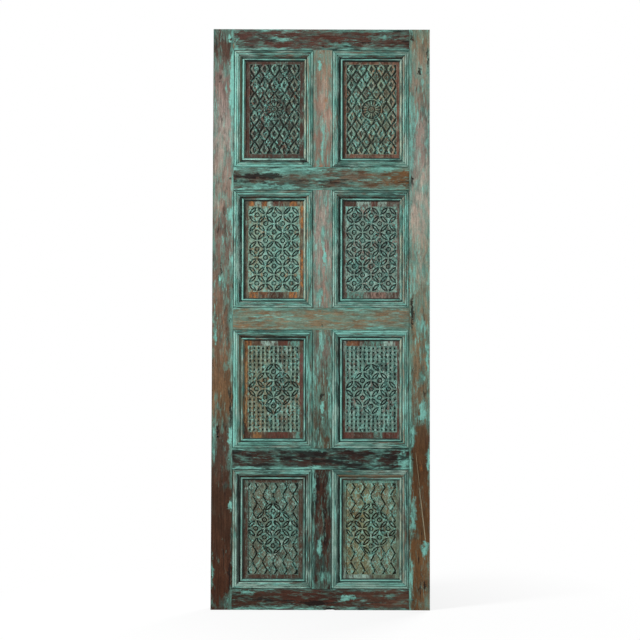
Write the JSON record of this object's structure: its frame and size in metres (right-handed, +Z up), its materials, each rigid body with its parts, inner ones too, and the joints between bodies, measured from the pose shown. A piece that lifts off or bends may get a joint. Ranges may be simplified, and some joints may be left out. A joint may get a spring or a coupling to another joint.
{
  "type": "weathered wooden door",
  "caption": "Tall panelled wooden door leaf with carved panels, mitred mouldings and a pegged frame, in worn turquoise paint over brown wood.",
  "frame": {"origin": "middle of the bottom edge: half way across the width and half way through the thickness", "axes": "+X to the right across the width as seen from the carved front, +Y from the carved front to the plain back, +Z up"},
  "size_m": [0.762, 0.044, 2.032],
  "materials": {
    "stile_wood": "worn turquoise paint over brown wood",
    "rail_wood": "worn turquoise paint over dark brown wood",
    "mullion_wood": "worn turquoise paint over pale brown wood",
    "panel_wood": "carved, turquoise paint with dark recesses",
    "moulding_wood": "worn turquoise paint with dark grooves",
    "peg_wood": "bare, dark with age",
    "rusted_nail": "rusted"
  },
  "bodies": {
    "root": {"left_stile": "stile_wood", "right_stile": "stile_wood", "bottom_rail": "rail_wood", "lower_rail": "rail_wood", "middle_rail": "rail_wood", "upper_rail": "rail_wood", "top_rail": "rail_wood", "mullion_1": "mullion_wood", "mullion_2": "mullion_wood", "mullion_3": "mullion_wood", "mullion_4": "mullion_wood", "panel_1_left": "panel_wood", "panel_1_right": "panel_wood", "panel_2_left": "panel_wood", "panel_2_right": "panel_wood", "panel_3_left": "panel_wood", "panel_3_right": "panel_wood", "panel_4_left": "panel_wood", "panel_4_right": "panel_wood", "moulding_1_left_bottom": "moulding_wood", "moulding_1_left_left": "moulding_wood", "moulding_1_left_top": "moulding_wood", "moulding_1_left_right": "moulding_wood", "moulding_1_right_bottom": "moulding_wood", "moulding_1_right_left": "moulding_wood", "moulding_1_right_top": "moulding_wood", "moulding_1_right_right": "moulding_wood", "moulding_2_left_bottom": "moulding_wood", "moulding_2_left_left": "moulding_wood", "moulding_2_left_top": "moulding_wood", "moulding_2_left_right": "moulding_wood", "moulding_2_right_bottom": "moulding_wood", "moulding_2_right_left": "moulding_wood", "moulding_2_right_top": "moulding_wood", "moulding_2_right_right": "moulding_wood", "moulding_3_left_bottom": "moulding_wood", "moulding_3_left_left": "moulding_wood", "moulding_3_left_top": "moulding_wood", "moulding_3_left_right": "moulding_wood", "moulding_3_right_bottom": "moulding_wood", "moulding_3_right_left": "moulding_wood", "moulding_3_right_top": "moulding_wood", "moulding_3_right_right": "moulding_wood", "moulding_4_left_bottom": "moulding_wood", "moulding_4_left_left": "moulding_wood", "moulding_4_left_top": "moulding_wood", "moulding_4_left_right": "moulding_wood", "moulding_4_right_bottom": "moulding_wood", "moulding_4_right_left": "moulding_wood", "moulding_4_right_top": "moulding_wood", "moulding_4_right_right": "moulding_wood", "tenon_pegs": "peg_wood", "mullion_pegs": "peg_wood", "moulding_brads": "rusted_nail"}
  },
  "joints": []
}
